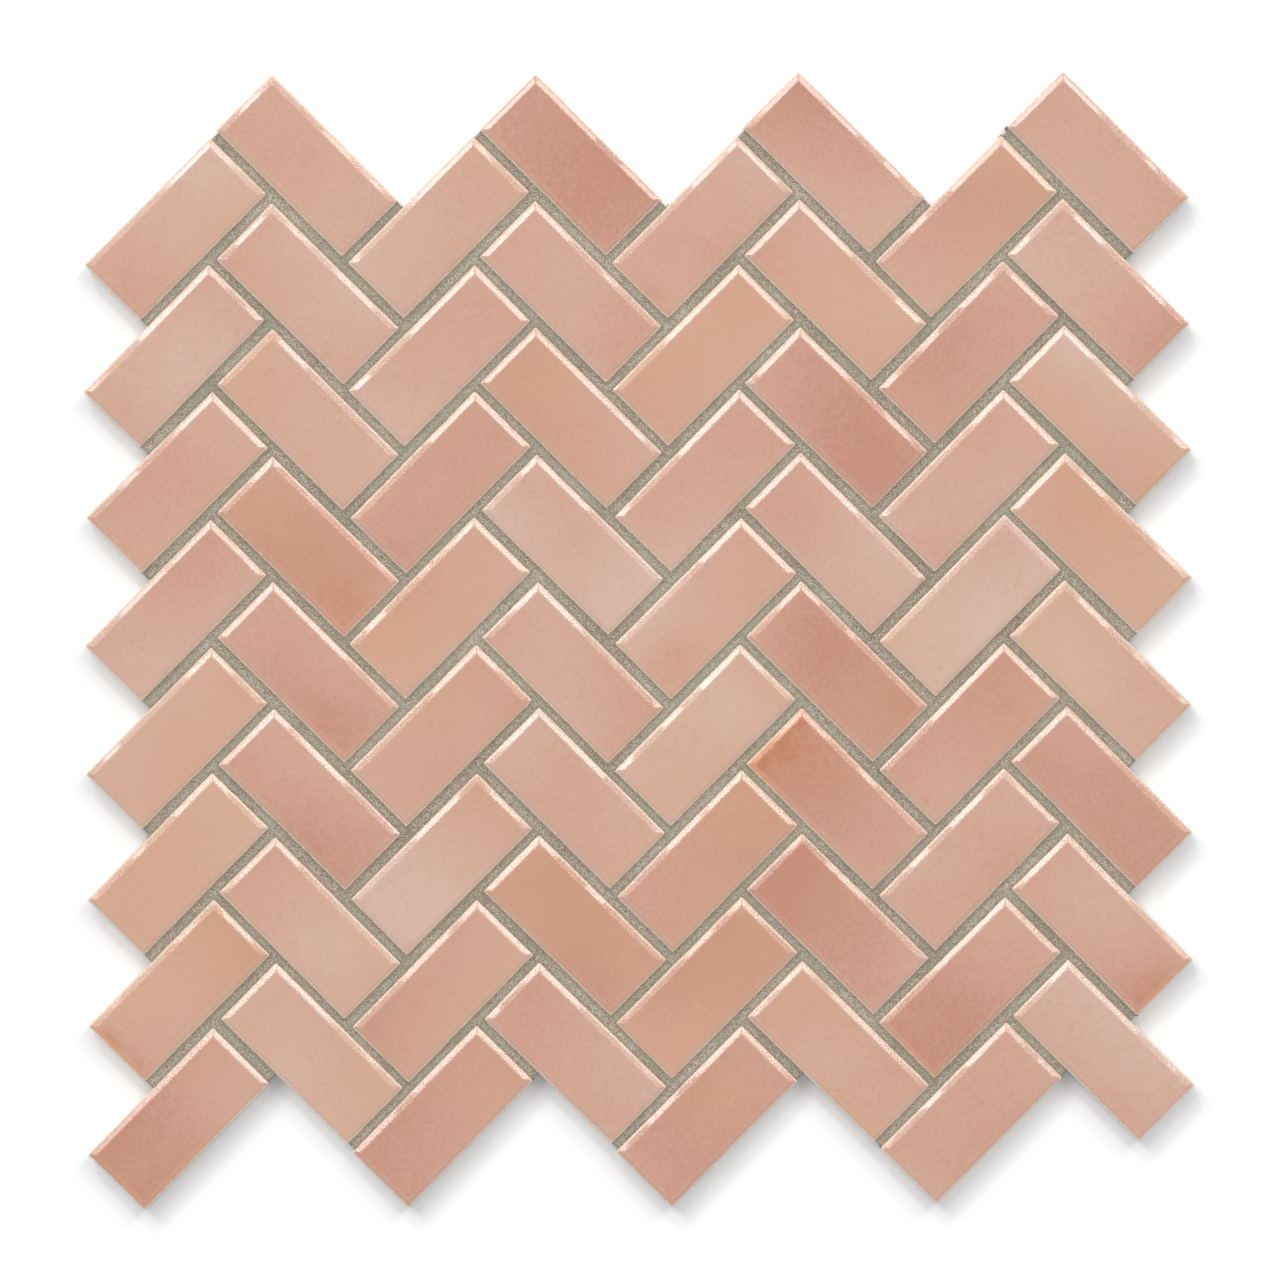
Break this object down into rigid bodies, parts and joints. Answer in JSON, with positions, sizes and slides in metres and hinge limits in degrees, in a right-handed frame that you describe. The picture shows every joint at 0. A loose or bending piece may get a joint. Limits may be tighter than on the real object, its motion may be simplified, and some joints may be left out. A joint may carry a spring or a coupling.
{
  "type": "herringbone ceramic mosaic tile sheet",
  "caption": "Sheet of small rectangular glazed ceramic tiles laid in herringbone with recessed sanded grout on a glass-fibre net, for tiling walls and floors.",
  "frame": {"origin": "middle of the sheet, on the underside of the net", "axes": "+Z out of the tiles' glazed faces, +Y up the columns of the pattern, +X across them"},
  "size_m": [0.3096, 0.3173, 0.0086],
  "materials": {
    "glazed_tile": "gloss",
    "grout": "matte",
    "net": "matte"
  },
  "bodies": {
    "root": {"tiles_column_1": "glazed_tile", "tiles_column_2": "glazed_tile", "tiles_column_3": "glazed_tile", "tiles_column_4": "glazed_tile", "tiles_column_5": "glazed_tile", "tiles_column_6": "glazed_tile", "tiles_column_7": "glazed_tile", "tiles_column_8": "glazed_tile", "grout": "grout", "net_strands_across": "net", "net_strands_along": "net"}
  },
  "joints": []
}
